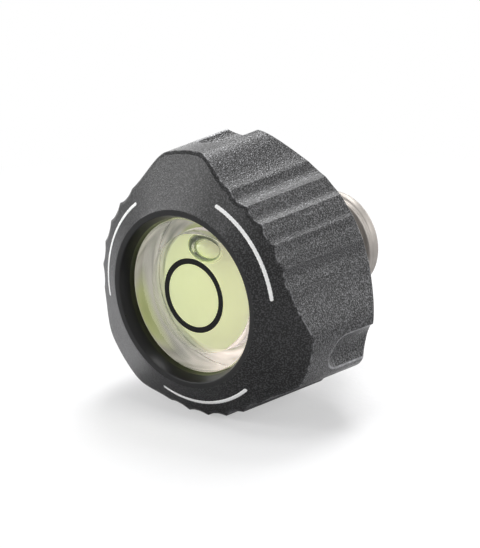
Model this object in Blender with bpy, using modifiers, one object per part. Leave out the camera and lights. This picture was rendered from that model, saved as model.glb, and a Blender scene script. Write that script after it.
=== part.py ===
# Screw-in camera bubble level, lying on its grip as it does on a table.
#
# A three-lobed thumb knob holds a round spirit vial in its front and a steel
# stud in its back. The level's own axis runs along Y: the vial looks along -Y
# and the stud points along +Y. Metres, +Z up, the table at Z = 0, and the
# middle of the box's underside at the origin.
#
# Every piece is drawn on the level's axis, with its own Z pointing out of the
# front and Z = 0 on the knob's back face, and the empty level_axis lays it down.

import math

import bmesh
import bpy

# Spirit vial: a clear cup, closed from behind by a white base.
VIAL_RADIUS = 0.0075
VIAL_WALL = 0.00175
VIAL_EDGE = 0.0002
ROOF_THICKNESS = 0.0012
DOME_RADIUS = 0.11
BASE_SPIGOT = 0.0021
BASE_FLANGE = 0.0012

# Target ring, laid in a groove in the vial's face.
RING_OUTER_RADIUS = 0.00363
RING_LINE = 0.00056
RING_THICKNESS = 0.00018

# Bubble, lying against the vial's wall, which it is pressed wide by: half its size
# along the wall, away from the wall, and along the level's axis.
BUBBLE_HALF_WIDTH = 0.002
BUBBLE_RADIUS = 0.00145
BUBBLE_HALF_HEIGHT = 0.0015
BUBBLE_HEADROOM = 0.0003

# Knob: wall thicknesses outwards and backwards from the vial's pocket.
VIAL_RECESS = 0.00138
MOUTH_FLARE = 0.00045
MOUTH_DEPTH = 0.001
LIP_WIDTH = 0.00055
FACE_WIDTH = 0.00325
FACE_SLOPE = math.radians(30)
WEB_THICKNESS = 0.0043
FACE_CHAMFER = 0.0003
BACK_RIM_INSET = 0.00129
BACK_SLOPE = math.radians(42)

# Grip: three lobes, and five flutes between each two.
LOBE_COUNT = 3
LOBE_RISE = 0.00177
LOBE_TOP_ANGLE = math.radians(10)
FLANK_EASE_SHARE = 0.72
FLUTE_COUNT = 5
FLUTE_PITCH = math.radians(11.25)
FLUTE_DEPTH = 0.00035
RESTING_FLUTE = -1

# Thumb notches, cut with a ball-nosed cutter into each lobe from behind.
NOTCH_RADIUS = 0.0024
NOTCH_DEPTH = 0.00105
NOTCH_LENGTH = 0.0084

# Stud: 3/8 inch, with a two-flat head let into the web from the front.
STUD_RADIUS = 0.0047625
STUD_REACH = 0.0084
STUD_POINT_DROP = 0.0005
STUD_POINT_LENGTH = 0.0011
THREAD_PITCH = 0.0015875
THREAD_DEPTH = 0.00095
THREAD_CREST = 0.0002
THREAD_FLANK = math.radians(30)
HEAD_OVERHANG = 0.00145
HEAD_THICKNESS = 0.001
HEAD_FLAT_CUT = 0.0008

# Adhesive pad under the vial.
PAD_THICKNESS = 0.0003
PAD_MARGIN = 0.0006

# Clearances, and how far a cutter runs past what it cuts.
VIAL_SIDE_CLEARANCE = 0.00015
SEAT_CLEARANCE = 0.0002
STUD_CLEARANCE = 0.0002
FLUID_CLEARANCE = 0.0001
RING_CLEARANCE = 0.00005
OVERRUN = 0.001

# Mesh steps.
BORE_STEPS = 120
TURNED_STEPS = 72
DOME_STEPS = 5
LOBE_TOP_STEPS = 3
LOBE_FLANK_STEPS = 12
FLUTE_HALF_STEPS = 4
NOTCH_STEPS = 40
NOTCH_NOSE_STEPS = 10
THREAD_STEPS = 36
BUBBLE_SEGMENTS = 32
BUBBLE_RINGS = 18
MERGE_DISTANCE = 0.000001

# Places along the axis, from the knob's back face forwards.
SEAT_FLOOR = WEB_THICKNESS - HEAD_THICKNESS - 2 * SEAT_CLEARANCE
HEAD_BACK = SEAT_FLOOR + SEAT_CLEARANCE
HEAD_FRONT = HEAD_BACK + HEAD_THICKNESS
PAD_BACK = WEB_THICKNESS + SEAT_CLEARANCE
PAD_FRONT = PAD_BACK + PAD_THICKNESS
BASE_BACK = PAD_FRONT + SEAT_CLEARANCE
FLANGE_FRONT = BASE_BACK + BASE_FLANGE
CUP_BACK = FLANGE_FRONT + FLUID_CLEARANCE
SPIGOT_FRONT = FLANGE_FRONT + BASE_SPIGOT
ROOF_RIM = SPIGOT_FRONT + 2 * BUBBLE_HALF_HEIGHT + BUBBLE_HEADROOM

# Places across the axis, from the vial's cavity outwards.
CAVITY_RADIUS = VIAL_RADIUS - VIAL_WALL
POCKET_RADIUS = VIAL_RADIUS + VIAL_SIDE_CLEARANCE
MOUTH_RADIUS = POCKET_RADIUS + MOUTH_FLARE
LIP_RADIUS = MOUTH_RADIUS + LIP_WIDTH
GRIP_RADIUS = LIP_RADIUS + FACE_WIDTH
LOBE_RADIUS = GRIP_RADIUS + LOBE_RISE
BACK_RADIUS = GRIP_RADIUS - BACK_RIM_INSET
HEAD_RADIUS = STUD_RADIUS + HEAD_OVERHANG
HEAD_FLAT = HEAD_RADIUS - HEAD_FLAT_CUT
RING_INNER_RADIUS = RING_OUTER_RADIUS - RING_LINE


def dome_rise(radius):
    """How far the dome's middle stands over its surface at this radius."""
    return DOME_RADIUS - math.sqrt(DOME_RADIUS ** 2 - radius ** 2)


ROOF_APEX = ROOF_RIM + dome_rise(CAVITY_RADIUS)
VIAL_FRONT = ROOF_APEX + ROOF_THICKNESS
KNOB_FRONT = VIAL_FRONT + VIAL_RECESS

# The bubble at rest, high on the wall over the base, and level, under the dome.
BUBBLE_REST_RADIUS = CAVITY_RADIUS - FLUID_CLEARANCE - BUBBLE_RADIUS
BUBBLE_REST_PLACE = SPIGOT_FRONT + FLUID_CLEARANCE + BUBBLE_HALF_HEIGHT

# The knob lies on the two ridges beside its resting flute.
LOBE_STEP = 2 * math.pi / LOBE_COUNT
FIRST_RIDGE = LOBE_STEP / 2 - FLUTE_COUNT * FLUTE_PITCH / 2
REST_TURN = -math.pi / 2 - (LOBE_STEP * 1.5 + RESTING_FLUTE * FLUTE_PITCH)
AXIS_HEIGHT = GRIP_RADIUS * math.cos(FLUTE_PITCH / 2)


def outline_radius(angle):
    """The grip's radius at an angle from the middle of a lobe, up to half a lobe step."""
    if angle <= LOBE_TOP_ANGLE:
        return LOBE_RADIUS
    if angle <= FIRST_RIDGE:
        share = (angle - LOBE_TOP_ANGLE) / (FIRST_RIDGE - LOBE_TOP_ANGLE)
        return GRIP_RADIUS + LOBE_RISE * (1 + math.cos(math.pi * share ** FLANK_EASE_SHARE)) / 2
    across = ((angle - FIRST_RIDGE) / FLUTE_PITCH) % 1 * 2 - 1
    return GRIP_RADIUS - FLUTE_DEPTH * (1 - across ** 2)


def half_step_angles():
    """Angles from the middle of a lobe to the middle of the next side."""
    top = [LOBE_TOP_ANGLE * i / LOBE_TOP_STEPS for i in range(LOBE_TOP_STEPS)]
    flank_span = FIRST_RIDGE - LOBE_TOP_ANGLE
    flank = [LOBE_TOP_ANGLE + flank_span * i / LOBE_FLANK_STEPS for i in range(LOBE_FLANK_STEPS)]
    half_pitch = FLUTE_PITCH / 2
    flutes = [FIRST_RIDGE + half_pitch * i / FLUTE_HALF_STEPS for i in range(FLUTE_COUNT * FLUTE_HALF_STEPS + 1)]
    return top + flank + flutes


def grip_outline():
    """The outline's points once round, as (x, y), starting beside the first side's middle."""
    half = half_step_angles()
    points = []
    for lobe in range(LOBE_COUNT):
        for angle in [-a for a in half[-2:0:-1]] + half:
            radius = outline_radius(abs(angle))
            turn = lobe * LOBE_STEP + angle
            points.append((radius * math.cos(turn), radius * math.sin(turn)))
    return points


def inset_outline(points, inset):
    """The outline moved inwards by the same distance all round, corners kept sharp."""
    moved = []
    for i, (x, y) in enumerate(points):
        before = points[i - 1]
        after = points[(i + 1) % len(points)]
        first = unit_normal(before, (x, y))
        second = unit_normal((x, y), after)
        spread = 1 + first[0] * second[0] + first[1] * second[1]
        moved.append((x - inset * (first[0] + second[0]) / spread, y - inset * (first[1] + second[1]) / spread))
    return moved


def unit_normal(start, end):
    """The outward normal of an edge that runs anticlockwise."""
    dx = end[0] - start[0]
    dy = end[1] - start[1]
    length = math.hypot(dx, dy)
    return dy / length, -dx / length


def face_height(radius):
    """The height of the knob's sloping face at this radius."""
    return KNOB_FRONT - (radius - LIP_RADIUS) * math.tan(FACE_SLOPE)


def back_height(radius):
    """The height of the cone round the knob's flat back at this radius."""
    return (radius - BACK_RADIUS) * math.tan(BACK_SLOPE)


def clear_scene():
    for item in list(bpy.data.objects):
        bpy.data.objects.remove(item, do_unlink=True)


def make_collection(name):
    collection = bpy.data.collections.new(name)
    bpy.context.scene.collection.children.link(collection)
    return collection


def make_material(name, colour, roughness, metallic=0.0, transmission=0.0):
    material = bpy.data.materials.new(name)
    material.use_nodes = True
    shader = material.node_tree.nodes["Principled BSDF"]
    shader.inputs["Base Color"].default_value = (*colour, 1.0)
    shader.inputs["Roughness"].default_value = roughness
    shader.inputs["Metallic"].default_value = metallic
    shader.inputs["Transmission Weight"].default_value = transmission
    material.diffuse_color = (*colour, 1.0)
    return material


def add_object(name, mesh, collection, parent, material=None):
    item = bpy.data.objects.new(name, mesh)
    collection.objects.link(item)
    item.parent = parent
    if material is not None:
        mesh.materials.append(material)
    return item


def add_empty(name, collection, parent=None):
    return add_object(name, None, collection, parent)


def smooth(item):
    item.data.shade_smooth()
    item.data.set_sharp_from_angle(angle=math.radians(30))


def turned(name, profile, collection, parent, material=None, steps=TURNED_STEPS, closed=False):
    """A turned piece: its profile, as (radius, height), runs down the outer side from the axis.

    A closed profile, which doesn't touch the axis, runs on from its last point to its first.
    """
    mesh = bpy.data.meshes.new(name)
    verts = [(radius, 0, height) for radius, height in profile]
    edges = [(i, i + 1) for i in range(len(verts) - 1)]
    if closed:
        edges.append((len(verts) - 1, 0))
    mesh.from_pydata(verts, edges, [])
    item = add_object(name, mesh, collection, parent, material)
    screw = item.modifiers.new("turn", "SCREW")
    screw.axis = "Z"
    screw.steps = steps
    screw.render_steps = steps
    screw.use_merge_vertices = True
    screw.merge_threshold = MERGE_DISTANCE
    screw.use_smooth_shade = True
    return item


def cut(item, cutter, operation="DIFFERENCE"):
    boolean = item.modifiers.new(cutter.name, "BOOLEAN")
    boolean.operation = operation
    boolean.solver = "EXACT"
    boolean.object = cutter
    cutter.hide_render = True
    cutter.display_type = "WIRE"


def knob_blank():
    """The knob's outside: sections from the lip down the sloping face, the grip and the back's cone."""
    outline = grip_outline()
    face_edge = inset_outline(outline, FACE_CHAMFER)
    lip, face, grip_front, grip_back, back = [], [], [], [], []
    for (edge_x, edge_y), (x, y) in zip(face_edge, outline):
        radius = math.hypot(edge_x, edge_y)
        height = face_height(radius)
        lip.append((edge_x * LIP_RADIUS / radius, edge_y * LIP_RADIUS / radius, KNOB_FRONT))
        face.append((edge_x, edge_y, height))
        grip_front.append((x, y, height - FACE_CHAMFER))
        radius = math.hypot(x, y)
        grip_back.append((x, y, back_height(radius)))
        back.append((x * BACK_RADIUS / radius, y * BACK_RADIUS / radius, 0))

    form = bmesh.new()
    rings = [[form.verts.new(point) for point in section] for section in (lip, face, grip_front, grip_back, back)]
    for upper, lower in zip(rings, rings[1:]):
        for i in range(len(upper)):
            after = (i + 1) % len(upper)
            form.faces.new((upper[i], lower[i], lower[after], upper[after]))
    form.faces.new(rings[0])
    form.faces.new(reversed(rings[-1]))
    mesh = bpy.data.meshes.new("knob_body")
    form.to_mesh(mesh)
    form.free()
    return mesh


def pocket_profile():
    """The vial's pocket, with its flared mouth."""
    return [
        (0, KNOB_FRONT + OVERRUN),
        (MOUTH_RADIUS, KNOB_FRONT + OVERRUN),
        (MOUTH_RADIUS, KNOB_FRONT),
        (POCKET_RADIUS, KNOB_FRONT - MOUTH_DEPTH),
        (POCKET_RADIUS, WEB_THICKNESS),
        (0, WEB_THICKNESS),
    ]


def stud_hole_profile():
    radius = STUD_RADIUS + STUD_CLEARANCE
    return [(0, WEB_THICKNESS + OVERRUN), (radius, WEB_THICKNESS + OVERRUN), (radius, -OVERRUN), (0, -OVERRUN)]


def notch_profile():
    """A ball-nosed cutter: the ball's quarter circle, then the straight side to behind the knob."""
    run_out = math.sqrt(2 * NOTCH_RADIUS * NOTCH_DEPTH - NOTCH_DEPTH ** 2)
    centre = NOTCH_LENGTH - run_out
    nose = []
    for i in range(NOTCH_NOSE_STEPS + 1):
        turn = math.pi / 2 * i / NOTCH_NOSE_STEPS
        nose.append((NOTCH_RADIUS * math.sin(turn), centre + NOTCH_RADIUS * math.cos(turn)))
    return nose + [(NOTCH_RADIUS, -OVERRUN), (0, -OVERRUN)]


def two_flat_disc(name, radius, flat, low, high, collection, cutters, parent):
    """A disc with two flats, made by keeping what a block shares with it."""
    disc = turned(name, [(0, high), (radius, high), (radius, low), (0, low)], collection, parent)
    block = bmesh.new()
    bmesh.ops.create_cube(block, size=1)
    bmesh.ops.scale(block, vec=(2 * (radius + OVERRUN), 2 * flat, high - low + 2 * OVERRUN), verts=block.verts)
    mesh = bpy.data.meshes.new(name + "_flats")
    block.to_mesh(mesh)
    block.free()
    flats = add_object(name + "_flats", mesh, cutters, parent)
    flats.location.z = (low + high) / 2
    cut(disc, flats, "INTERSECT")
    return disc


def make_knob(parts, cutters, parent):
    material = make_material("black_anodised", (0.035, 0.035, 0.037), 0.55, 0.6)
    knob = add_object("knob_body", knob_blank(), parts, parent, material)
    knob.rotation_euler.z = REST_TURN
    smooth(knob)
    cut(knob, turned("pocket_cutter", pocket_profile(), cutters, parent, steps=BORE_STEPS))
    cut(knob, turned("stud_hole_cutter", stud_hole_profile(), cutters, parent))
    seat = two_flat_disc(
        "head_seat_cutter",
        HEAD_RADIUS + STUD_CLEARANCE,
        HEAD_FLAT + STUD_CLEARANCE,
        SEAT_FLOOR,
        WEB_THICKNESS + OVERRUN,
        cutters,
        cutters,
        parent,
    )
    cut(knob, seat)
    for lobe in range(LOBE_COUNT):
        notch = turned(f"notch_cutter_{lobe + 1}", notch_profile(), cutters, knob, steps=NOTCH_STEPS)
        reach = LOBE_RADIUS - NOTCH_DEPTH + NOTCH_RADIUS
        turn = lobe * LOBE_STEP
        notch.location = (reach * math.cos(turn), reach * math.sin(turn), 0)
        cut(knob, notch)
    return knob


def thread_profile(start):
    """One pitch of the thread, as (radius, height), from the middle of one root to the next."""
    root = STUD_RADIUS - THREAD_DEPTH
    flank = THREAD_DEPTH * math.tan(THREAD_FLANK)
    half_root = (THREAD_PITCH - THREAD_CREST) / 2 - flank
    return [
        (root, start),
        (root, start + half_root),
        (STUD_RADIUS, start + half_root + flank),
        (STUD_RADIUS, start + THREAD_PITCH - half_root - flank),
        (root, start + THREAD_PITCH - half_root),
        (root, start + THREAD_PITCH),
    ]


def thread_mesh():
    """A right-hand thread, a pitch or more longer than the shank at both ends.

    One pitch is spun up the helix and welded to itself, and each end is closed with a fan
    of faces from the axis.
    """
    pitches_below = math.ceil(STUD_REACH / THREAD_PITCH) + 1
    turns = pitches_below + math.ceil(HEAD_FRONT / THREAD_PITCH)
    low = -pitches_below * THREAD_PITCH
    high = low + (turns + 1) * THREAD_PITCH

    form = bmesh.new()
    points = [form.verts.new((radius, 0, height)) for radius, height in thread_profile(low)]
    edges = [form.edges.new(pair) for pair in zip(points, points[1:])]
    bmesh.ops.spin(
        form,
        geom=points + edges,
        cent=(0, 0, 0),
        axis=(0, 0, 1),
        dvec=(0, 0, THREAD_PITCH / THREAD_STEPS),
        angle=2 * math.pi * turns,
        steps=THREAD_STEPS * turns,
    )
    bmesh.ops.remove_doubles(form, verts=form.verts, dist=MERGE_DISTANCE)
    ends = [form.verts.new((0, 0, low)), form.verts.new((0, 0, high))]
    for edge in [e for e in form.edges if e.is_boundary]:
        first, second = edge.verts
        end = ends[first.co.z + second.co.z > low + high]
        form.faces.new((first, second, end))
    bmesh.ops.recalc_face_normals(form, faces=form.faces)
    mesh = bpy.data.meshes.new("thread")
    form.to_mesh(mesh)
    form.free()
    return mesh


def make_stud(parts, cutters, parent):
    """The head with its flats, joined to the threaded shank, whose end is pointed."""
    material = make_material("polished_steel", (0.62, 0.61, 0.6), 0.22, 1.0)
    stud = two_flat_disc("threaded_stud", HEAD_RADIUS, HEAD_FLAT, HEAD_BACK, HEAD_FRONT, parts, cutters, parent)
    stud.data.materials.append(material)
    past_crest = STUD_RADIUS + OVERRUN
    past_point = STUD_POINT_LENGTH + OVERRUN * STUD_POINT_LENGTH / STUD_POINT_DROP
    envelope = [
        (0, (HEAD_BACK + HEAD_FRONT) / 2),
        (past_crest, (HEAD_BACK + HEAD_FRONT) / 2),
        (past_crest, past_point - STUD_REACH),
        (STUD_RADIUS - STUD_POINT_DROP, -STUD_REACH),
        (0, -STUD_REACH),
    ]
    shank = turned("stud_shank", envelope, cutters, parent)
    cut(shank, add_object("thread", thread_mesh(), cutters, parent), "INTERSECT")
    cut(stud, shank, "UNION")
    return stud


def make_pad(parts, parent):
    material = make_material("adhesive", (0.75, 0.74, 0.7), 0.6)
    radius = VIAL_RADIUS - PAD_MARGIN
    profile = [(0, PAD_FRONT), (radius, PAD_FRONT), (radius, PAD_BACK), (0, PAD_BACK)]
    return turned("adhesive_pad", profile, parts, parent, material)


def dome_points(apex, radius, drop=0.0):
    """The dome from this radius up to the axis, lowered by drop."""
    points = []
    for i in range(DOME_STEPS + 1):
        at = radius * (1 - i / DOME_STEPS)
        points.append((at, apex - dome_rise(at) - drop))
    return points


def make_vial_body(parts, parent):
    """A clear cup, open behind, with the ring's groove in its face and a domed roof inside."""
    material = make_material("clear_acrylic", (0.9, 0.92, 0.9), 0.05, 0.0, 1.0)
    groove_floor = VIAL_FRONT - RING_THICKNESS - RING_CLEARANCE
    profile = [
        (0, VIAL_FRONT),
        (RING_INNER_RADIUS - RING_CLEARANCE, VIAL_FRONT),
        (RING_INNER_RADIUS - RING_CLEARANCE, groove_floor),
        (RING_OUTER_RADIUS + RING_CLEARANCE, groove_floor),
        (RING_OUTER_RADIUS + RING_CLEARANCE, VIAL_FRONT),
        (VIAL_RADIUS - VIAL_EDGE, VIAL_FRONT),
        (VIAL_RADIUS, VIAL_FRONT - VIAL_EDGE),
        (VIAL_RADIUS, CUP_BACK),
        (CAVITY_RADIUS, CUP_BACK),
    ]
    return turned("vial_body", profile + dome_points(ROOF_APEX, CAVITY_RADIUS), parts, parent, material)


def make_vial_base(parts, parent):
    """A white base: a flange as wide as the cup, and a spigot that closes the cavity."""
    material = make_material("white_abs", (0.85, 0.86, 0.83), 0.45)
    spigot = CAVITY_RADIUS - FLUID_CLEARANCE
    profile = [
        (0, SPIGOT_FRONT),
        (spigot, SPIGOT_FRONT),
        (spigot, FLANGE_FRONT),
        (VIAL_RADIUS, FLANGE_FRONT),
        (VIAL_RADIUS, BASE_BACK),
        (0, BASE_BACK),
    ]
    return turned("vial_base", profile, parts, parent, material)


def make_ring(parts, parent):
    """A closed section of paint, which fills the groove in the vial's face."""
    material = make_material("black_enamel", (0.02, 0.02, 0.02), 0.35)
    low = VIAL_FRONT - RING_THICKNESS
    section = [
        (RING_INNER_RADIUS, VIAL_FRONT),
        (RING_OUTER_RADIUS, VIAL_FRONT),
        (RING_OUTER_RADIUS, low),
        (RING_INNER_RADIUS, low),
    ]
    return turned("target_ring", section, parts, parent, material, closed=True)


def bubble_mesh(name, growth=0.0):
    """The bubble's egg shape, larger all round by growth."""
    form = bmesh.new()
    bmesh.ops.create_uvsphere(form, u_segments=BUBBLE_SEGMENTS, v_segments=BUBBLE_RINGS, radius=1)
    half_sizes = (BUBBLE_HALF_WIDTH + growth, BUBBLE_RADIUS + growth, BUBBLE_HALF_HEIGHT + growth)
    bmesh.ops.scale(form, vec=half_sizes, verts=form.verts)
    mesh = bpy.data.meshes.new(name)
    form.to_mesh(mesh)
    form.free()
    return mesh


def make_liquid(parts, cutters, parent):
    """The liquid fills the cavity, apart from the hollow that the bubble takes at the wall."""
    material = make_material("green_spirit", (0.72, 0.85, 0.42), 0.02, 0.0, 1.0)
    radius = CAVITY_RADIUS - FLUID_CLEARANCE
    floor = SPIGOT_FRONT + FLUID_CLEARANCE
    surface = dome_points(ROOF_APEX, radius, FLUID_CLEARANCE)
    liquid = turned("spirit_liquid", surface[::-1] + [(radius, floor), (0, floor)], parts, parent, material)
    hollow = add_object("bubble_hollow", bubble_mesh("bubble_hollow", FLUID_CLEARANCE), cutters, parent)
    hollow.location = (0, BUBBLE_REST_RADIUS, BUBBLE_REST_PLACE)
    cut(liquid, hollow)
    return liquid


def make_bubble(parts, parent):
    material = make_material("air", (0.9, 0.95, 0.92), 0.02, 0.0, 1.0)
    bubble = add_object("air_bubble", bubble_mesh("air_bubble"), parts, parent, material)
    bubble.location = (0, BUBBLE_REST_RADIUS, BUBBLE_REST_PLACE)
    smooth(bubble)
    return bubble


def place_level(axis):
    """Lays the axis down along Y, at the height of the knob's ridges, with the box centred."""
    across = [x * math.cos(REST_TURN) - y * math.sin(REST_TURN) for x, y in grip_outline()]
    axis.rotation_euler.x = math.pi / 2
    axis.location.x = -(min(across) + max(across)) / 2
    axis.location.y = (KNOB_FRONT - STUD_REACH) / 2
    axis.location.z = AXIS_HEIGHT


def main():
    clear_scene()
    parts = make_collection("camera_bubble_level")
    cutters = make_collection("cutters")
    axis = add_empty("level_axis", parts)
    place_level(axis)
    make_knob(parts, cutters, axis)
    make_stud(parts, cutters, axis)
    make_pad(parts, axis)
    make_vial_base(parts, axis)
    make_vial_body(parts, axis)
    make_ring(parts, axis)
    fluid_axis = add_empty("fluid_axis", parts, axis)
    make_liquid(parts, cutters, fluid_axis)
    make_bubble(parts, fluid_axis)
    bpy.context.view_layer.update()


main()
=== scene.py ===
import math

import bmesh
import bpy
from mathutils import Matrix, Vector


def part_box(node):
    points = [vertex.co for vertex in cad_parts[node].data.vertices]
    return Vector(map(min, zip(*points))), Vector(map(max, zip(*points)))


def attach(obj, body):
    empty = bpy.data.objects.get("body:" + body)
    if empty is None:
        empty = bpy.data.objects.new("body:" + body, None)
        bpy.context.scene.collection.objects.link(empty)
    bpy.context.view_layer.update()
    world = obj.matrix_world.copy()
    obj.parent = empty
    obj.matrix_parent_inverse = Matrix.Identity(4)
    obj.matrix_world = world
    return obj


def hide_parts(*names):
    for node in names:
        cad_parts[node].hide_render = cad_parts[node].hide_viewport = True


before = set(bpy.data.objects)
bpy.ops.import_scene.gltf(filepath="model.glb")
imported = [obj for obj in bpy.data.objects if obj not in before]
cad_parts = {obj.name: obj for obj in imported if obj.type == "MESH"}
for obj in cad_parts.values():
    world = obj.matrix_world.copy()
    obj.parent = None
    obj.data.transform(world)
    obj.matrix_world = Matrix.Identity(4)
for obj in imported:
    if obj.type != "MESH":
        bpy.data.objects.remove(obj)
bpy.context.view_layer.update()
mm = 0.001
deg = math.radians

# Places along the level's axis are counted forwards, towards -Y, from the knob's back face.
# Angles are those seen from the front, anticlockwise from +X.
knobLow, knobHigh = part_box("knob_body")
baseLow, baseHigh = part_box("vial_base")
vialLow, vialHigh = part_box("vial_body")
axisX = (baseLow.x + baseHigh.x) / 2
axisZ = (baseLow.z + baseHigh.z) / 2
backY = knobHigh.y
knobFront = backY - knobLow.y
baseBack = backY - baseHigh.y
baseFront = backY - baseLow.y
vialFront = backY - vialLow.y
vialBack = backY - vialHigh.y
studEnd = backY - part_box("threaded_stud")[1].y
laidDown = Matrix.Translation((axisX, backY, axisZ)) @ Matrix.Rotation(math.pi / 2, 4, "X")


class Wire:
    # A node's output, with arithmetic on it.
    def __init__(self, tree, socket):
        self.tree = tree
        self.socket = socket

    def maths(self, operation, other, otherFirst=False):
        first, second = (other, self) if otherFirst else (self, other)
        return self.tree.node("ShaderNodeMath", {"operation": operation}, {0: first, 1: second})

    def __add__(self, other):
        return self.maths("ADD", other)

    def __radd__(self, other):
        return self.maths("ADD", other, True)

    def __sub__(self, other):
        return self.maths("SUBTRACT", other)

    def __rsub__(self, other):
        return self.maths("SUBTRACT", other, True)

    def __mul__(self, other):
        return self.maths("MULTIPLY", other)

    def __rmul__(self, other):
        return self.maths("MULTIPLY", other, True)

    def __truediv__(self, other):
        return self.maths("DIVIDE", other)

    def __rtruediv__(self, other):
        return self.maths("DIVIDE", other, True)

    def __pow__(self, other):
        return self.maths("POWER", other)

    def __rpow__(self, other):
        return self.maths("POWER", other, True)


class Tree:
    def __init__(self, nodeTree, keep=False):
        self.nodes = nodeTree.nodes
        self.links = nodeTree.links
        if not keep:
            self.nodes.clear()

    def feed(self, socket, value):
        if isinstance(value, Wire):
            self.links.new(value.socket, socket)
        elif socket.type == "RGBA":
            socket.default_value = (*value, 1)
        else:
            socket.default_value = value

    def node(self, kind, settings=None, values=None, out=0):
        made = self.nodes.new(kind)
        for name, value in (settings or {}).items():
            setattr(made, name, value)
        for name, value in (values or {}).items():
            self.feed(made.inputs[name], value)
        return Wire(self, made.outputs[out]) if len(made.outputs) else made

    def over(self, shader, share):
        # Lays another shader over the material's own.
        surface = next(n for n in self.nodes if n.type == "OUTPUT_MATERIAL").inputs["Surface"]
        own = Wire(self, surface.links[0].from_socket)
        self.feed(surface, self.node("ShaderNodeMixShader", {}, {0: share, 1: own, 2: shader}))

    def mix(self, share, first, second):
        return self.node("ShaderNodeMix", {"data_type": "RGBA"}, {0: share, 6: first, 7: second}, out=2)

    def ramp(self, value, low, high, start=0.0, end=1.0):
        values = {0: value, 1: low, 2: high, 3: start, 4: end}
        return self.node("ShaderNodeMapRange", {}, values)

    def bump(self, height, depth):
        return self.node("ShaderNodeBump", {}, {"Strength": 1.0, "Distance": depth, "Height": height})

    def rays(self):
        # Whether the camera sees this straight, and whether it sees it in a reflection or through glass.
        kinds = ("Is Camera Ray", "Is Glossy Ray", "Is Transmission Ray")
        straight, inGloss, throughGlass = [self.node("ShaderNodeLightPath", out=kind) for kind in kinds]
        return straight, inGloss.maths("MAXIMUM", throughGlass)

    def place(self):
        return self.node("ShaderNodeTexCoord", out="Object")

    def fromAxis(self):
        # A point's place as seen from the level's axis, and how far it lies from it.
        x, along, z = [self.node("ShaderNodeSeparateXYZ", {}, {0: self.place()}, out=way) for way in "XYZ"]
        x = x - axisX
        z = z - axisZ
        return x, along, z, (x * x + z * z) ** 0.5

    def behindFace(self):
        # How far a point lies behind the vial's face.
        along = self.node("ShaderNodeSeparateXYZ", {}, {0: self.place()}, out="Y")
        return along - (backY - vialFront)

    def cloud(self, vector, scale, detail, roughness):
        values = {"Vector": vector, "Scale": scale, "Detail": detail, "Roughness": roughness}
        return self.node("ShaderNodeTexNoise", {}, values)

    def noise(self, size, detail=2, roughness=0.5, stretch=(1, 1, 1)):
        # Noise between 0 and 1, whose grains are about this many metres wide.
        scaled = self.node("ShaderNodeVectorMath", {"operation": "MULTIPLY"}, {0: self.place(), 1: stretch})
        return self.cloud(scaled, 1 / size, detail, roughness)

    def swirl(self, width, turns):
        # Noise in streaks about this many metres wide, which run round the level's axis.
        x, along, z, radius = self.fromAxis()
        values = {0: x / radius * turns, 1: z / radius * turns, 2: (radius + along) / width}
        return self.cloud(self.node("ShaderNodeCombineXYZ", {}, values), 1, 2, 0.5)


def finish(name, values, paint=None, volume=None):
    # A material from plain values, from what a paint function works out over the surface, and from what fills
    # the piece: the colour that it lets through and its density, and the colour and strength of a painted
    # glow from within.
    material = bpy.data.materials.new(name)
    material.use_nodes = True
    tree = Tree(material.node_tree)
    painted = paint(tree) if paint else {}
    output = {"Surface": tree.node("ShaderNodeBsdfPrincipled", {}, {**values, **painted})}
    if volume:
        colour, density, paintedGlow, strength = volume
        soak = tree.node("ShaderNodeVolumeAbsorption", {}, {"Color": colour, "Density": density})
        paintedLight = tree.node("ShaderNodeEmission", {}, {"Color": paintedGlow, "Strength": strength})
        output["Volume"] = tree.node("ShaderNodeAddShader", {}, {0: soak, 1: paintedLight})
    tree.node("ShaderNodeOutputMaterial", {}, output)
    return material


def addPiece(name, verts, faces, material, body, replaced=()):
    mesh = bpy.data.meshes.new(name)
    mesh.from_pydata([laidDown @ Vector(v) for v in verts], [], faces)
    mesh.materials.append(material)
    mesh.shade_smooth()
    piece = bpy.data.objects.new(name, mesh)
    bpy.context.scene.collection.objects.link(piece)
    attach(piece, body)
    if replaced:
        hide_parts(*replaced)
    return piece


def wind(rows, closedAlong=False):
    # Quads between closed rows of equally many points.
    # The first row is on top, and the points run anticlockwise as seen from there.
    count = len(rows[0])
    faces = []
    for i in range(len(rows) if closedAlong else len(rows) - 1):
        above = i * count
        below = (i + 1) % len(rows) * count
        for j in range(count):
            after = (j + 1) % count
            faces.append((above + j, below + j, below + after, above + after))
    return [point for row in rows for point in row], faces


cornerSteps = 3  # how many runs a rounded corner has
cornerShare = 0.45  # the most of each run beside it that a rounded corner takes


def softCorners(points, radii, steps=cornerSteps):
    # A polyline in (radius, height) with its corners rounded, always with the same number of points.
    path = []
    for i, point in enumerate(points):
        here = Vector(point)
        radius = radii[i]
        if radius == 0:
            path.append((here.x, here.y))
            continue
        before = Vector(points[i - 1]) - here
        after = Vector(points[(i + 1) % len(points)]) - here
        half = before.angle(after) / 2
        reach = min(radius / math.tan(half), before.length * cornerShare, after.length * cornerShare)
        start = here + before.normalized() * reach
        end = here + after.normalized() * reach
        for k in range(steps + 1):
            t = k / steps
            corner = start * (1 - t) ** 2 + here * 2 * t * (1 - t) + end * t ** 2
            path.append((corner.x, corner.y))
    return path


def circle(radius, height, steps):
    angles = [2 * math.pi * j / steps for j in range(steps)]
    return [(radius * math.cos(a), radius * math.sin(a), height) for a in angles]


turnedSteps = 160  # points round a turned piece
sameSpot = 0.0001 * mm  # points this near to each other become one


def weld(piece):
    form = bmesh.new()
    form.from_mesh(piece.data)
    bmesh.ops.remove_doubles(form, verts=form.verts, dist=sameSpot)
    bmesh.ops.dissolve_degenerate(form, edges=form.edges, dist=sameSpot / 10)
    form.to_mesh(piece.data)
    form.free()


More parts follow.
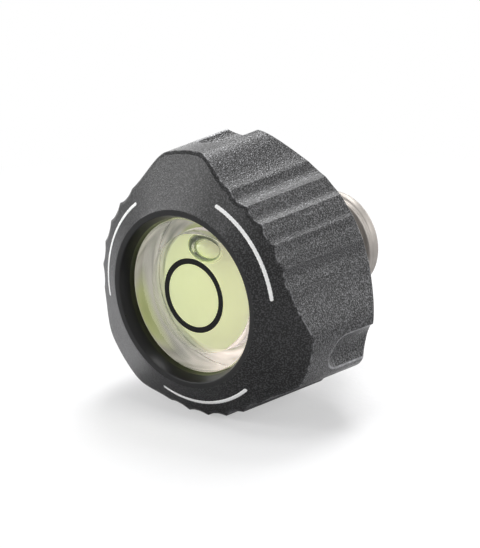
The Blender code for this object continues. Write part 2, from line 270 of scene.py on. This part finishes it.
def turn(name, points, radii, material, body, replaced):
    # A turned piece from its profile in (radius, height), which runs down the outside from the axis.
    path = softCorners(points, radii) if radii else points
    verts, faces = wind([circle(radius, height, turnedSteps) for radius, height in path])
    weld(addPiece(name, verts, faces, material, body, replaced))


def softMin(first, second, softness):
    # The smaller of the two, with the corner between them rounded off.
    overlap = max(softness - abs(first - second), 0) / softness
    return min(first, second) - overlap ** 2 * softness / 4


def shareOf(value, reach):
    # How much of its reach a value has gone, from nought to one.
    return min(max(value / reach, 0), 1)


print("knob")
knob = {
    "lobes": 3,
    "firstLobe": deg(101.25),
    "lobeRadius": 13.67 * mm,
    "gripRadius": 11.9 * mm,
    "lobeTop": deg(10),
    "flankEase": 0.72,
    "flutes": 5,
    "flutePitch": deg(11.25),
    "fluteDepth": 0.36 * mm,
    "ridgeSoftness": deg(0.45),
    "cornerSoftness": deg(2.6),
    "cornerReach": deg(12),
    "softSteps": 3,
    "pocketRadius": 7.65 * mm,
    "pocketFloor": 4.3 * mm,
    "mouthRadius": 8.1 * mm,
    "mouthDepth": 1.0 * mm,
    "lipRadius": 8.65 * mm,
    "faceSlope": deg(30),
    "faceChamfer": 0.3 * mm,
    "backRadius": 10.61 * mm,
    "backSlope": deg(42),
    "edgeSoftness": 0.12 * mm,
    "holeRadius": 4.9 * mm,
    "notchRadius": 2.4 * mm,
    "notchDepth": 1.05 * mm,
    "notchLength": 8.4 * mm,
    "notchSoftness": 0.14 * mm,
    # How closely the mesh's sections follow each other.
    "topEnd": deg(10.5),
    "topSteps": 30,
    "flankSteps": 18,
    "ridgeSteps": (0, 0.3, 0.65, 1.1, 1.8, 2.8, 4.1),
    # The finish. Ranges say where something begins and is full, from the face cone, the lip, the back, the
    # notch's ball or the lobe's top.
    "colour": (0.006, 0.006, 0.0062),
    "bend": 1.45,
    "shine": 0.3,
    "roughness": 0.25,
    "patches": 2.5 * mm,
    "patchRoughness": 0.08,
    "grain": 0.13 * mm,
    "grainDepth": 0.05 * mm,
    "glintColour": (0.11, 0.11, 0.114),
    "glintGrain": 0.143 * mm,
    "glintRange": (0.42, 0.72),
    "glintMetal": 0.6,
    "frontShare": 0.42,
    "frontRange": (-0.25 * mm, -0.1 * mm),
    "lipRange": (-0.1 * mm, 0.05 * mm),
    "backRange": (-3 * mm, -2 * mm),
    # Edges lighter and more metallic, partly as wear and partly as a painted highlight where the edges catch
    # light.
    "wearHighlightColour": (0.32, 0.32, 0.33),
    "wearHighlightMetal": 0.4,
    "wearHighlightRoughness": 0.15,
    "beads": 0.5 * mm,
    "beadRange": (0.42, 0.62),
    "contourRise": (-0.19 * mm, -0.14 * mm),
    "contourFall": (-0.12 * mm, -0.08 * mm),
    "contourWearHighlight": 0.6,
    "rimRange": (0.05 * mm, 0.12 * mm),
    "rimHeight": (-0.16 * mm, -0.08 * mm),
    "rimWearHighlight": (0.5, 0.4),
}
lobeStep = 2 * math.pi / knob["lobes"]
lobeMiddles = [knob["firstLobe"] + lobe * lobeStep for lobe in range(knob["lobes"])]
firstRidge = lobeStep / 2 - knob["flutes"] * knob["flutePitch"] / 2
notchReach = knob["lobeRadius"] - knob["notchDepth"] + knob["notchRadius"]
notchRunOut = math.sqrt(2 * knob["notchRadius"] * knob["notchDepth"] - knob["notchDepth"] ** 2)
notchTurn = knob["notchLength"] - notchRunOut
farAway = 1.0


def gripRadius(angle):
    # The outline's radius at an angle from the middle of a lobe, up to half a lobe step either way.
    angle = abs(angle)
    if angle <= knob["lobeTop"]:
        return knob["lobeRadius"]
    if angle <= firstRidge:
        share = (angle - knob["lobeTop"]) / (firstRidge - knob["lobeTop"])
        rise = (1 + math.cos(math.pi * share ** knob["flankEase"])) / 2
        return knob["gripRadius"] + (knob["lobeRadius"] - knob["gripRadius"]) * rise
    across = ((angle - firstRidge) / knob["flutePitch"]) % 1 * 2 - 1
    return knob["gripRadius"] - knob["fluteDepth"] * (1 - across ** 2)


def softGripRadius(angle):
    # The same, with the ridges' tips rounded a little and the lobes' corners more.
    towardsLobe = shareOf(firstRidge - abs(angle), knob["cornerReach"])
    softness = knob["ridgeSoftness"] + (knob["cornerSoftness"] - knob["ridgeSoftness"]) * towardsLobe
    steps = knob["softSteps"]
    shifts = [softness * k / steps for k in range(-steps, steps + 1)]
    radii = [gripRadius((angle + shift + lobeStep / 2) % lobeStep - lobeStep / 2) for shift in shifts]
    return sum(radii) / len(radii)


def notchRadius(angle, height):
    # How far from the axis the ball-nosed trough lies, or far away where there is none.
    past = max(0, height - notchTurn)
    left = knob["notchRadius"] ** 2 - (notchReach * math.sin(angle)) ** 2 - past ** 2
    return notchReach * math.cos(angle) - math.sqrt(left) if left > 0 else farAway


def cutByNotch(angle, radius, height):
    if height < knob["notchLength"] + mm and radius > knob["lipRadius"] + mm:
        radius = softMin(radius, notchRadius(angle, height), knob["notchSoftness"])
    return radius, height


def knobSection(angle):
    # The knob's section at an angle from a lobe's middle, in (radius, height), all the way round.
    outer = softGripRadius(angle)
    faceEdge = outer - knob["faceChamfer"]
    faceHeight = knobFront - (faceEdge - knob["lipRadius"]) * math.tan(knob["faceSlope"])
    soft = knob["edgeSoftness"]
    # Each corner's radius, height and softness, and how many pieces the run after it has.
    corners = [
        (knob["pocketRadius"], knob["pocketFloor"], 0, 1),
        (knob["pocketRadius"], knobFront - knob["mouthDepth"], soft, 1),
        (knob["mouthRadius"], knobFront, soft, 2),
        (knob["lipRadius"], knobFront, 2 * soft, 8),
        (faceEdge, faceHeight, soft, 2),
        (outer, faceHeight - knob["faceChamfer"], soft, 46),
        (outer, (outer - knob["backRadius"]) * math.tan(knob["backSlope"]), soft, 16),
        (knob["backRadius"], 0, soft, 2),
        (knob["holeRadius"], 0, 0, 1),
        (knob["holeRadius"], knob["pocketFloor"], 0, 1),
    ]
    path = softCorners([corner[:2] for corner in corners], [corner[2] for corner in corners])
    pieces = []
    for corner in corners:
        pieces += [1] * (cornerSteps if corner[2] else 0) + [corner[3]]
    section = []
    for i, (radius, height) in enumerate(path):
        nextRadius, nextHeight = path[(i + 1) % len(path)]
        for k in range(pieces[i]):
            share = k / pieces[i]
            section.append(cutByNotch(
                angle, radius + (nextRadius - radius) * share, height + (nextHeight - height) * share
            ))
    return section


def knobAngles():
    # The angles of one lobe's sections, closest together at the ridges.
    topEnd = knob["topEnd"]
    top = [topEnd * i / knob["topSteps"] for i in range(knob["topSteps"])]
    flank = [topEnd + (firstRidge - topEnd) * i / knob["flankSteps"] for i in range(knob["flankSteps"])]
    ridges = [firstRidge + knob["flutePitch"] * i for i in range(knob["flutes"] + 1)]
    side = sorted({ridge + sign * deg(a) for ridge in ridges for a in knob["ridgeSteps"] for sign in (-1, 1)})
    side = [a for a in side if firstRidge - 1e-9 <= a <= lobeStep / 2]
    half = top + flank + side
    return [-a for a in half[:0:-1]] + half


def notchEdge(tree, x, along, z, radius):
    # One along the edge that each thumb notch cuts into its lobe, and nought elsewhere: where a painted
    # highlight goes.
    past = (backY - along - notchTurn).maths("MAXIMUM", 0)
    nearest = farAway
    for middle in lobeMiddles:
        outward = x * math.cos(middle) + z * math.sin(middle) - notchReach
        across = z * math.cos(middle) - x * math.sin(middle)
        nearest = ((outward * outward + across * across + past * past) ** 0.5).maths("MINIMUM", nearest)
    near, far = knob["rimRange"]
    low, high = knob["rimHeight"]
    beside = tree.ramp(nearest, knob["notchRadius"] + near, knob["notchRadius"] + far, 1, 0)
    return beside * tree.ramp(radius, knob["lobeRadius"] + low, knob["lobeRadius"] + high)


def paintKnob(tree):
    # Blasted pits that glint here and there under the black, and edges painted lighter and more metallic,
    # partly as wear and partly as a painted highlight where they catch light.
    # The front has fewer glints, and the turned lip and the pocket have none.
    x, along, z, radius = tree.fromAxis()
    overFront = backY - knobFront - along + (radius - knob["lipRadius"]) * math.tan(knob["faceSlope"])
    onFront = tree.ramp(overFront, *knob["frontRange"], 1, knob["frontShare"])
    outside = tree.ramp(radius, *[knob["lipRadius"] + way for way in knob["lipRange"]])
    behind = tree.ramp(along, *[backY + way for way in knob["backRange"]])
    blasted = outside.maths("MAXIMUM", behind) * onFront
    grain = tree.noise(knob["grain"], 1) * blasted
    patches = tree.noise(knob["patches"], 3)
    glints = tree.ramp(tree.noise(knob["glintGrain"], 0), *knob["glintRange"]) * blasted
    contour = tree.ramp(overFront, *knob["contourRise"]) * tree.ramp(overFront, *knob["contourFall"], 1, 0)
    beads = tree.ramp(tree.noise(knob["beads"], 2, 0.6), *knob["beadRange"])
    plain, beaded = knob["rimWearHighlight"]
    # A painted highlight, partly wear, along the face's contour and along the notches' edges.
    wearHighlight = contour * outside * beads * knob["contourWearHighlight"]
    wearHighlight = wearHighlight + notchEdge(tree, x, along, z, radius) * (plain + beads * beaded)
    pitted = tree.mix(glints, knob["colour"], knob["glintColour"])
    return {
        "Base Color": tree.mix(wearHighlight, pitted, knob["wearHighlightColour"]),
        "Metallic": glints * knob["glintMetal"] + wearHighlight * knob["wearHighlightMetal"],
        "Roughness": knob["roughness"] + patches * knob["patchRoughness"] + wearHighlight * knob["wearHighlightRoughness"],
        "Normal": tree.bump(grain, knob["grainDepth"]),
    }


anodised = finish("bead_blasted_black", {"IOR": knob["bend"], "Specular IOR Level": knob["shine"]}, paintKnob)
sections = [(angle, knobSection(angle)) for angle in knobAngles()]
rows = []
for middle in lobeMiddles:
    for angle, section in sections:
        a = middle + angle
        rows.append([(radius * math.cos(a), radius * math.sin(a), height) for radius, height in section])
verts, faces = wind(rows, closedAlong=True)
addPiece("knob", verts, faces, anodised, "level", ["knob_body"])


print("printed arcs")
arcs = {
    "radius": 10.27 * mm,
    "width": 0.31 * mm,
    "halfSpan": deg(30.9),
    "thickness": 0.012 * mm,
    "steps": 160,
    "waves": ((0.05, 151, 0), (0.04, 233, 1)),
    "outline": ((-1, -1), (-1, 1), (-0.5, 1), (0, 1), (0.5, 1), (1, 1), (1, -1)),
    "grain": 0.09 * mm,
    "grainDepth": 0.01 * mm,
    "grainRange": (0.3, 0.7),
    "darkest": (0.8, 0.8, 0.79),
    "colour": (0.93, 0.93, 0.92),
    "roughness": 0.55,
    "grainRoughness": 0.15,
}


def paintPrint(tree):
    grain = tree.noise(arcs["grain"], 2, 0.6)
    return {
        "Base Color": tree.mix(tree.ramp(grain, *arcs["grainRange"]), arcs["darkest"], arcs["colour"]),
        "Roughness": arcs["roughness"] + grain * arcs["grainRoughness"],
        "Normal": tree.bump(grain, arcs["grainDepth"]),
    }


def arcPiece(name, middle, material):
    # A raised stroke with round ends, whose width wavers a little.
    half = arcs["width"] / 2
    rows = []
    for i in range(arcs["steps"] + 1):
        along = -1 + 2 * i / arcs["steps"]
        angle = middle + arcs["halfSpan"] * along
        toEnd = (1 - abs(along)) * arcs["halfSpan"] * arcs["radius"]
        waver = sum(depth * math.sin(angle * turns + start) for depth, turns, start in arcs["waves"])
        reach = half * math.sqrt(1 - (1 - shareOf(toEnd, half)) ** 2) * (1 + waver)
        row = []
        for share, lift in arcs["outline"]:
            radius = arcs["radius"] + reach * share
            height = knobFront - (radius - knob["lipRadius"]) * math.tan(knob["faceSlope"])
            height += arcs["thickness"] * lift
            row.append((radius * math.cos(angle), radius * math.sin(angle), height))
        rows.append(row)
    verts, faces = wind(rows)
    addPiece(name, verts, faces, material, "level")


whitePrint = finish("white_print", {}, paintPrint)
for k, middle in enumerate(lobeMiddles):
    arcPiece(f"printed_arc_{k + 1}", middle + lobeStep / 2, whitePrint)


print("stud")
stud = {
    "radius": 4.7625 * mm,
    "pitch": 1.5875 * mm,
    "depth": 0.95 * mm,
    "crest": 0.2 * mm,
    "flank": deg(30),
    "rootSoftness": 0.25,
    "plainEnd": 0.85 * mm,
    "plainRadius": 4.76 * mm,
    "runOut": 0.8 * mm,
    "endEdge": 0.35 * mm,
    "endSteps": 6,
    "top": 3.6 * mm,
    "stepsAround": 120,
    "rowsPerTurn": 32,
    "darkest": (0.2, 0.185, 0.17),
    "colour": (0.37, 0.345, 0.32),
    "roughness": 0.46,
    "smudgeRoughness": 0.14,
    "smudges": 1.6 * mm,
    "turning": 0.12 * mm,
    "turningStretch": (0.02, 1, 0.02),
    "turningDepth": 0.004 * mm,
}
plainStart = studEnd + stud["plainEnd"]


def threadRadius(height, angle):
    # Flat crests, straight flanks and soft roots, which run out before the plain end.
    phase = (height / stud["pitch"] - angle / (2 * math.pi)) % 1
    away = abs(phase - 0.5) * stud["pitch"]
    share = max(0, (away - stud["crest"] / 2) / (stud["depth"] * math.tan(stud["flank"])))
    cut = stud["radius"] - stud["depth"] * softMin(share, 1, stud["rootSoftness"])
    return stud["plainRadius"] + (cut - stud["plainRadius"]) * shareOf(height - plainStart, stud["runOut"])


def paintSteel(tree):
    turned = tree.noise(stud["turning"], stretch=stud["turningStretch"])
    smudge = tree.noise(stud["smudges"])
    return {
        "Base Color": tree.mix(smudge, stud["darkest"], stud["colour"]),
        "Roughness": stud["roughness"] + smudge * stud["smudgeRoughness"],
        "Normal": tree.bump(turned, stud["turningDepth"]),
    }


steel = finish("polished_steel", {"Metallic": 1.0}, paintSteel)
rows = []
turns = [2 * math.pi * j / stud["stepsAround"] for j in range(stud["stepsAround"])]
rowCount = int((stud["top"] - plainStart) / stud["pitch"] * stud["rowsPerTurn"])
for i in range(rowCount + 1):
    height = stud["top"] + (plainStart - stud["top"]) * i / rowCount
    radii = [threadRadius(height, a) for a in turns]
    rows.append([(radius * math.cos(a), radius * math.sin(a), height) for radius, a in zip(radii, turns)])
endProfile = [(stud["plainRadius"], plainStart), (stud["plainRadius"], studEnd), (0, studEnd)]
for radius, height in softCorners(endProfile, [0, stud["endEdge"], 0], stud["endSteps"])[1:]:
    rows.append(circle(radius, height, stud["stepsAround"]))
verts, faces = wind(rows)
weld(addPiece("stud", verts, faces, steel, "level", ["threaded_stud"]))


print("vial")
vial = {
    "radius": 7.5 * mm,
    "cavityRadius": 5.75 * mm,
    "roof": 1.2 * mm,
    "rise": 0.15 * mm,
    "domeSteps": 8,
    "faceEdge": 0.2 * mm,
    "softEdge": 0.05 * mm,
    "innerEdge": 0.03 * mm,
    "bond": 0.03 * mm,
    "wallGap": 0.01 * mm,
    "acrylicColour": (0.985, 0.985, 0.98),
    "acrylicBend": 1.49,
    "sideRoughness": 0.03,
    "hazeRoughness": 0.04,
    "haze": 1.4 * mm,
    "streaks": 1.6 * mm,
    "streakStretch": (1, 0.06, 1),
    "streakDepth": 0.02 * mm,
    "liquidColour": (0.764, 0.9, 0.118),
    "liquidDensity": 110,
    # A painted glow that lights the liquid from within, and its strength.
    "liquidPaintedGlow": (0.68, 0.8, 0.46),
    "liquidPaintedGlowStrength": 34.0,
    "liquidBend": 0.97,
    "bubbleBend": 0.692,
}
roofApex = vialFront - vial["roof"]
clear = {"Base Color": (1, 1, 1), "Roughness": 0.0, "Transmission Weight": 1.0}


def paintAcrylic(tree):
    # The face is polished, and the moulded side a little rougher, with streaks along it.
    haze = tree.noise(vial["haze"], 3, 0.6)
    streaks = tree.noise(vial["streaks"], 0, stretch=vial["streakStretch"])
    side = tree.ramp(tree.behindFace(), vial["faceEdge"], vial["faceEdge"] * 2)
    return {
        "Roughness": side * (vial["sideRoughness"] + haze * vial["hazeRoughness"]),
        "Normal": tree.bump(streaks * side, vial["streakDepth"]),
    }


# The acrylic fills the cavity too, and what stands in it has its bend of light taken against the acrylic's or
# the liquid's, so that light passes as it does between wetted and cemented pieces.
acrylicValues = {**clear, "Base Color": vial["acrylicColour"], "IOR": vial["acrylicBend"]}
turn(
    "vial_cup",
    [
        (0, vialFront),
        (vial["radius"], vialFront),
        (vial["radius"], vialBack),
        (vial["cavityRadius"], vialBack),
        (vial["cavityRadius"], baseFront - vial["bond"]),
        (0, baseFront - vial["bond"]),
    ],
    [0, vial["faceEdge"], vial["softEdge"], vial["softEdge"], 0, 0],
    finish("clear_acrylic", acrylicValues, paintAcrylic),
    "level",
    ["vial_body"],
)


print("white base")
base = {
    "faceColour": (0.92, 0.9, 0.87),
    "darkest": (0.5, 0.49, 0.46),
    "colour": (0.96, 0.91, 0.88),
    "roughness": 0.4,
    "grainRoughness": 0.15,
    "grain": 0.9 * mm,
    "grainDepth": 0.01 * mm,
    "streakWidth": 0.9 * mm,
    "streakTurns": 1.2,
    "streakRange": (0.36, 0.62),
    "underRange": (0.04 * mm, 0.2 * mm),
    # Painted light that the base gives off: on its face, more to the left; on its side, with a painted
    # highlight towards the lower right; and on its rim, in green, most on the left.
    "paintedGlow": (0.21, 0.14, 0.18),
    "paintedGlowLeft": (0.32, 0.3, 0.25),
    "paintedGlowRange": (-5 * mm, 2 * mm),
    "sidePaintedLight": (0.18, 0.165, 0.155),
    "sidePaintedHighlight": (0.76, 0.64, 0.58),
    "sidePaintedShade": (0.03, 0.03, 0.026),
    "sideHighlightRange": (2 * mm, 7 * mm),
    "rimPaintedLight": (0.17, 0.2, 0.035),
    "rimRange": (5.85 * mm, 6.25 * mm),
    "rimFade": (0, 2.5 * mm),
    "rimLeast": 0.2,
}


def paintBase(tree):
    # Painted light: the base's face under the liquid and its side glow, standing in for the light that
    # reaches them through the acrylic, with more on the left of the face, a painted highlight towards the
    # lower right of the side, and a green painted glow on the rim, most on the left.
    x, along, z, radius = tree.fromAxis()
    grain = tree.noise(base["grain"])
    under = tree.ramp(tree.behindFace(), *[vialFront - baseFront + way for way in base["underRange"]])
    # Streaks round the side, which make its colour darker and lighter and vary its painted light too.
    sideStreaks = tree.ramp(tree.swirl(base["streakWidth"], base["streakTurns"]), *base["streakRange"])
    # Painted light on the side: green round the rim, most on the left, and a painted highlight towards the
    # lower right.
    rim = tree.ramp(radius, *base["rimRange"], 1, 0) * tree.ramp(x, *base["rimFade"], 1, base["rimLeast"])
    paintedLight = tree.mix(tree.ramp(x - z, *base["sideHighlightRange"]), base["sidePaintedLight"], base["sidePaintedHighlight"])
    side = tree.mix(rim, tree.mix(sideStreaks, base["sidePaintedShade"], paintedLight), base["rimPaintedLight"])
    # Painted light on the face, more on its left.
    facePaintedLight = tree.mix(tree.ramp(x, *base["paintedGlowRange"]), base["paintedGlowLeft"], base["paintedGlow"])
    return {
        "Base Color": tree.mix(under, base["faceColour"], tree.mix(sideStreaks, base["darkest"], base["colour"])),
        "Roughness": base["roughness"] + grain * base["grainRoughness"],
        "Normal": tree.bump(grain, base["grainDepth"]),
        "Emission Color": tree.mix(under, facePaintedLight, side),
    }


spigot = vial["cavityRadius"] + vial["bond"]
flange = vial["radius"] - vial["bond"]
flangeTop = vialBack + vial["bond"]
turn(
    "white_base",
    [
        (0, baseFront),
        (spigot, baseFront),
        (spigot, flangeTop),
        (flange, flangeTop),
        (flange, baseBack),
        (0, baseBack),
    ],
    [0, vial["innerEdge"], 0, vial["softEdge"], vial["softEdge"], 0],
    finish("white_base", {"Emission Strength": 1.0}, paintBase),
    "level",
    ["vial_base"],
)


print("liquid")
liquidRadius = vial["cavityRadius"] - vial["wallGap"]
liquidLow = baseFront + vial["wallGap"]
dome = []
for i in range(vial["domeSteps"] + 1):
    share = i / vial["domeSteps"]
    dome.append((liquidRadius * share, roofApex - vial["rise"] * share ** 2))
# The liquid soaks up light, and glows from within with painted light.
filling = (vial["liquidColour"], vial["liquidDensity"], vial["liquidPaintedGlow"], vial["liquidPaintedGlowStrength"])
turn(
    "liquid",
    dome + [(liquidRadius, liquidLow), (0, liquidLow)],
    [0] * vial["domeSteps"] + [vial["innerEdge"], 0, 0],
    finish("green_liquid", {**clear, "IOR": vial["liquidBend"]}, None, filling),
    "fluid",
    ["spirit_liquid"],
)


print("bubble")
bubble = {
    "halfWidth": 2.0 * mm,
    "outward": 1.45 * mm,
    "halfHeight": 1.5 * mm,
    "stepsDown": 40,
    "stepsAround": 64,
}
bubbleLow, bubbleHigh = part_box("air_bubble")
bubbleMiddle = (bubbleLow + bubbleHigh) / 2
rows = []
for i in range(bubble["stepsDown"] + 1):
    tilt = math.pi * i / bubble["stepsDown"]
    height = backY - bubbleMiddle.y + bubble["halfHeight"] * math.cos(tilt)
    row = []
    for across, up, _ in circle(math.sin(tilt), 0, bubble["stepsAround"]):
        x = bubbleMiddle.x - axisX + bubble["halfWidth"] * across
        z = bubbleMiddle.z - axisZ + bubble["outward"] * up
        row.append((x, z, height))
    rows.append(row)
verts, faces = wind(rows)
air = finish("air", {**clear, "IOR": vial["bubbleBend"]})
weld(addPiece("bubble", verts, faces, air, "bubble", ["air_bubble"]))


print("ring")
ring = {
    "inner": 3.07 * mm,
    "outer": 3.62 * mm,
    "above": 0.012 * mm,
    "depth": 0.1 * mm,
    "softEdge": 0.02 * mm,
    "grain": 0.12 * mm,
    "grainDepth": 0.01 * mm,
    "darkest": (0.005, 0.005, 0.005),
    "colour": (0.012, 0.012, 0.012),
    "roughness": 0.5,
    "grainRoughness": 0.2,
    "shine": 0.1,
}


def paintEnamel(tree):
    grain = tree.noise(ring["grain"], 2, 0.6)
    return {
        "Base Color": tree.mix(grain, ring["darkest"], ring["colour"]),
        "Roughness": ring["roughness"] + grain * ring["grainRoughness"],
        "Normal": tree.bump(grain, ring["grainDepth"]),
    }


blackEnamel = finish("black_enamel", {"Specular IOR Level": ring["shine"]}, paintEnamel)
ringTop = vialFront + ring["above"]
ringLow = vialFront - ring["depth"]
corners = [
    (ring["inner"], ringTop),
    (ring["outer"], ringTop),
    (ring["outer"], ringLow),
    (ring["inner"], ringLow),
]
profile = softCorners(corners, [ring["softEdge"], ring["softEdge"], 0, 0])
turn("ring", profile + profile[:1], None, blackEnamel, "level", ["target_ring"])


print("adhesive pad")
adhesive = {
    "clouds": 0.8 * mm,
    "depth": 0.02 * mm,
    "darkest": (0.66, 0.65, 0.6),
    "colour": (0.78, 0.77, 0.73),
    "roughness": 0.5,
    "cloudRoughness": 0.2,
}


def paintAdhesive(tree):
    cloud = tree.noise(adhesive["clouds"])
    return {
        "Base Color": tree.mix(cloud, adhesive["darkest"], adhesive["colour"]),
        "Roughness": adhesive["roughness"] + cloud * adhesive["cloudRoughness"],
        "Normal": tree.bump(cloud, adhesive["depth"]),
    }


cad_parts["adhesive_pad"].data.materials[0] = finish("adhesive", {}, paintAdhesive)


print("room")
room = {
    "floorHalf": 3.0,
    "floorColour": (0.8, 0.8, 0.81),
    "floorShade": 0.97,
    "floorRoughness": 0.8,
    "clouds": 14 * mm,
    "cloudRange": (0.4, 0.6),
    "paperGrain": 0.6 * mm,
    "paperDepth": 0.02 * mm,
    "shadowEnd": 12 * mm,
    "whiteFrom": 70 * mm,
    "shadowLift": 0.45,
    "reflectedFrom": 60 * mm,
    "reflectedWhite": 250 * mm,
    "white": (1, 1, 1),
    "frontLevel": 0.03,
    "backLevel": 0.53,
    "backWay": (-0.7, 0.7, 0.1),
    "backRange": (0.0, 0.7),
}


def paintPaper(tree):
    cloud = tree.noise(room["clouds"], 3)
    shade = tuple(room["floorShade"] * c for c in room["floorColour"])
    return {
        "Base Color": tree.mix(tree.ramp(cloud, *room["cloudRange"]), shade, room["floorColour"]),
        "Roughness": room["floorRoughness"],
        "Normal": tree.bump(tree.noise(room["paperGrain"], 2, 0.6), room["paperDepth"]),
    }


half = room["floorHalf"]
floorMesh = bpy.data.meshes.new("floor")
floorCorners = [(-half, -half, 0), (half, -half, 0), (half, half, 0), (-half, half, 0)]
floorMesh.from_pydata(floorCorners, [], [(0, 1, 2, 3)])
floor = bpy.data.objects.new("floor", floorMesh)
bpy.context.scene.collection.objects.link(floor)
paper = finish("paper", {}, paintPaper)
floorMesh.materials.append(paper)

# The paper goes over into plain white away from the object, seen straight, in a reflection or through glass.
tree = Tree(paper.node_tree, keep=True)
straight, indirect = tree.rays()
away = tree.node("ShaderNodeVectorMath", {"operation": "LENGTH"}, {0: tree.place()}, out="Value")
lift = tree.ramp(away, room["shadowEnd"], room["whiteFrom"], room["shadowLift"], 1) * straight
lift = lift + tree.ramp(away, room["reflectedFrom"], room["reflectedWhite"]) * indirect
tree.over(tree.node("ShaderNodeEmission", {}, {"Color": room["white"], "Strength": 1.0}), lift)

# The world is white where it is seen, and lights the object from behind more than from the front.
world = bpy.data.worlds.new("room")
bpy.context.scene.world = world
world.use_nodes = True
tree = Tree(world.node_tree)
straight, indirect = tree.rays()
way = tree.node("ShaderNodeTexCoord", out="Generated")
towards = {0: way, 1: room["backWay"]}
facing = tree.node("ShaderNodeVectorMath", {"operation": "DOT_PRODUCT"}, towards, out="Value")
front, back, seen = [
    tree.node("ShaderNodeBackground", {}, {"Color": room["white"], "Strength": level})
    for level in (room["frontLevel"], room["backLevel"], 1.0)
]
unseen = tree.node("ShaderNodeMixShader", {}, {0: tree.ramp(facing, *room["backRange"]), 1: front, 2: back})
both = tree.node("ShaderNodeMixShader", {}, {0: straight + indirect, 1: unseen, 2: seen})
tree.node("ShaderNodeOutputWorld", {}, {"Surface": both})


print("lamps")
# Each lamp's direction round the level and up from the floor, in degrees, and how bright it is.
lamps = {
    "overhead": (0, 90, 6.6),
    "back_high": (112, 60, 10.4),
    "back_left": (120, 42, 6.0),
    "back_right_low": (60, 8, 2.2),
    "back_low": (90, 8, 5.0),
    "back_left_low": (150, 8, 4.0),
    "right": (15, 25, 8.9),
    "left_low": (210, 8, 5.2),
    "front_left": (225, 25, 5.4),
    "front": (255, 25, 2.9),
}
lampSize = 0.24
lampDistance = 0.7
lampCentre = Vector((0, 0, 0.04))
lampWatts = 4 * lampSize ** 2  # for a brightness of 1


def softbox(name, around, up, brightness):
    way = Vector((math.cos(around) * math.cos(up), math.sin(around) * math.cos(up), math.sin(up)))
    lamp = bpy.data.lights.new(name, "AREA")
    lamp.shape = "SQUARE"
    lamp.size = lampSize
    lamp.energy = brightness * lampWatts
    made = bpy.data.objects.new(name, lamp)
    bpy.context.scene.collection.objects.link(made)
    made.location = lampCentre + way * lampDistance
    made.rotation_euler = (-way).to_track_quat("-Z", "Y").to_euler()
    made.visible_camera = False


for name, (around, up, brightness) in lamps.items():
    softbox(name, deg(around), deg(up), brightness)

# Light goes back and forth many times inside the vial.
bounces = bpy.context.scene.cycles
bounces.max_bounces = 32
bounces.transmission_bounces = 32
bounces.glossy_bounces = 16
bounces.diffuse_bounces = 8


print("camera")
view = {
    "place": (0.70690, -0.81535, 0.39038),
    "aim": (-0.00204, -0.00193, 0.01155),
    "roll": deg(-0.41),
    "lens": 796.2,
    "sensor": 36,
    "nearest": 0.05,
    "farthest": 50,
}
eye = bpy.data.cameras.new("camera")
eye.lens = view["lens"]
eye.sensor_width = view["sensor"]
eye.clip_start = view["nearest"]
eye.clip_end = view["farthest"]
camera = bpy.data.objects.new("camera", eye)
bpy.context.scene.collection.objects.link(camera)
camera.location = view["place"]
aim = (Vector(view["aim"]) - Vector(view["place"])).to_track_quat("-Z", "Y").to_matrix()
camera.rotation_euler = (aim @ Matrix.Rotation(view["roll"], 3, "Z")).to_euler()
bpy.context.scene.camera = camera
bpy.context.scene.view_settings.view_transform = "Standard"
